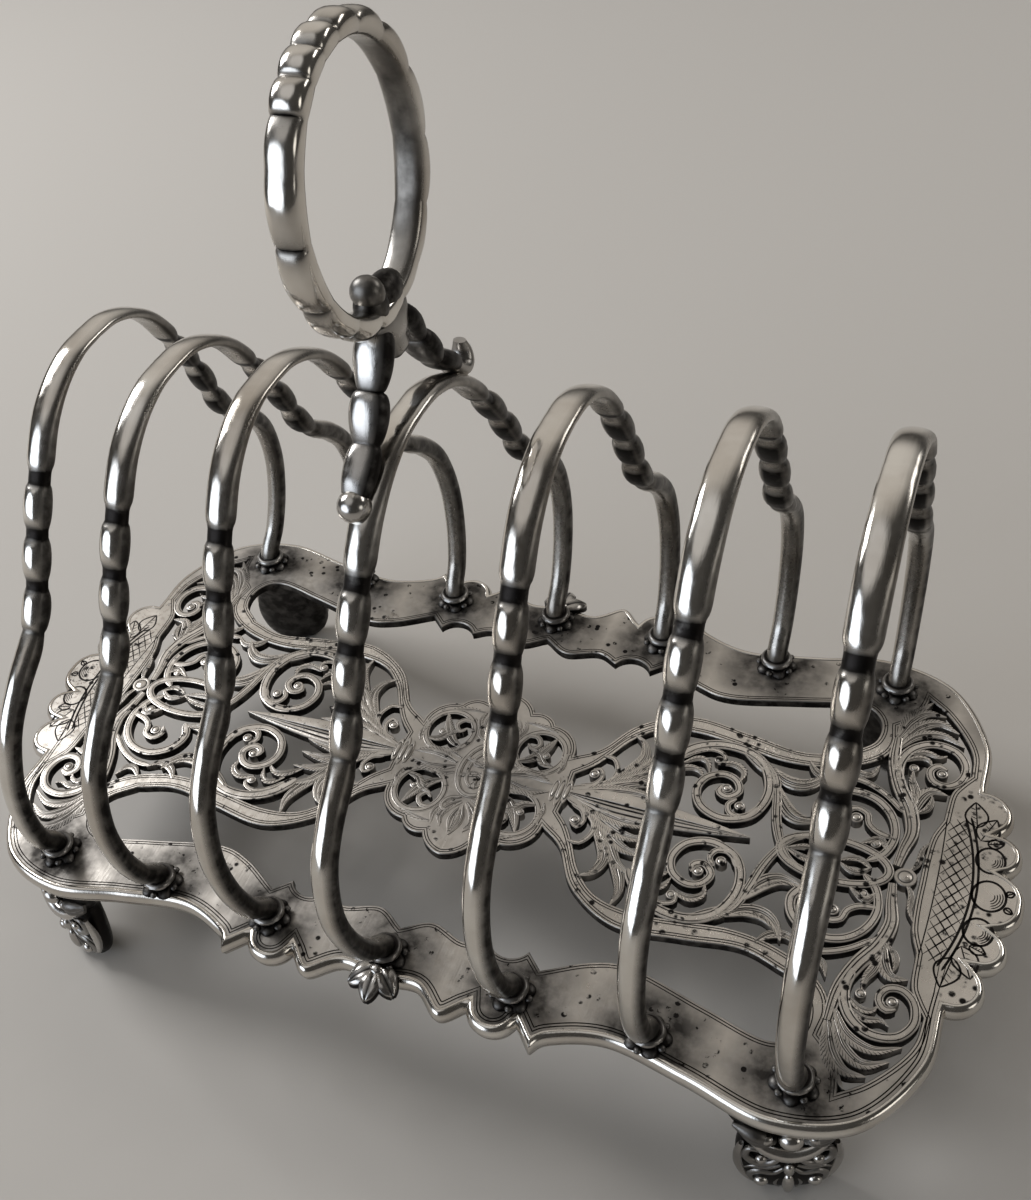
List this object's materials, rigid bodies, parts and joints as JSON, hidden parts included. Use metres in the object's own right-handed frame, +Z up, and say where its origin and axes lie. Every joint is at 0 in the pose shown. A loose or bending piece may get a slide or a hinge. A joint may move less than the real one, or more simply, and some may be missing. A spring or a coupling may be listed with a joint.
{
  "type": "toast rack",
  "caption": "Free-standing toast rack: seven beaded arch bars on a pierced ogee-edged plate with scroll feet and an oval ring handle.",
  "frame": {"origin": "on the table, midway between the four feet", "axes": "+X along the row of bars, +Y to the rear side, +Z up"},
  "size_m": [0.1848, 0.1007, 0.159],
  "materials": {
    "sheet_silver": "aged sterling silver sheet, pierced and engraved, with dark tarnish in the cuts",
    "polished_silver": "bright polished sterling silver with dark grooves",
    "cast_silver": "cast and chased sterling silver, blackened in its recesses"
  },
  "bodies": {
    "root": {"base_plate": "sheet_silver", "rim_moulding": "polished_silver", "bar_1": "polished_silver", "bar_2": "polished_silver", "bar_3": "polished_silver", "bar_4": "polished_silver", "bar_5": "polished_silver", "bar_6": "polished_silver", "bar_7": "polished_silver", "collar_front_1": "cast_silver", "collar_rear_1": "cast_silver", "collar_front_2": "cast_silver", "collar_rear_2": "cast_silver", "collar_front_3": "cast_silver", "collar_rear_3": "cast_silver", "collar_front_4": "cast_silver", "collar_rear_4": "cast_silver", "collar_front_5": "cast_silver", "collar_rear_5": "cast_silver", "collar_front_6": "cast_silver", "collar_rear_6": "cast_silver", "collar_front_7": "cast_silver", "collar_rear_7": "cast_silver", "foot_front_left": "cast_silver", "foot_rear_left": "cast_silver", "foot_front_right": "cast_silver", "foot_rear_right": "cast_silver", "ring_handle": "polished_silver", "handle_saddle": "cast_silver", "handle_leg_front": "cast_silver", "handle_leg_rear": "cast_silver", "palmette_front": "cast_silver", "palmette_rear": "cast_silver"}
  },
  "joints": []
}
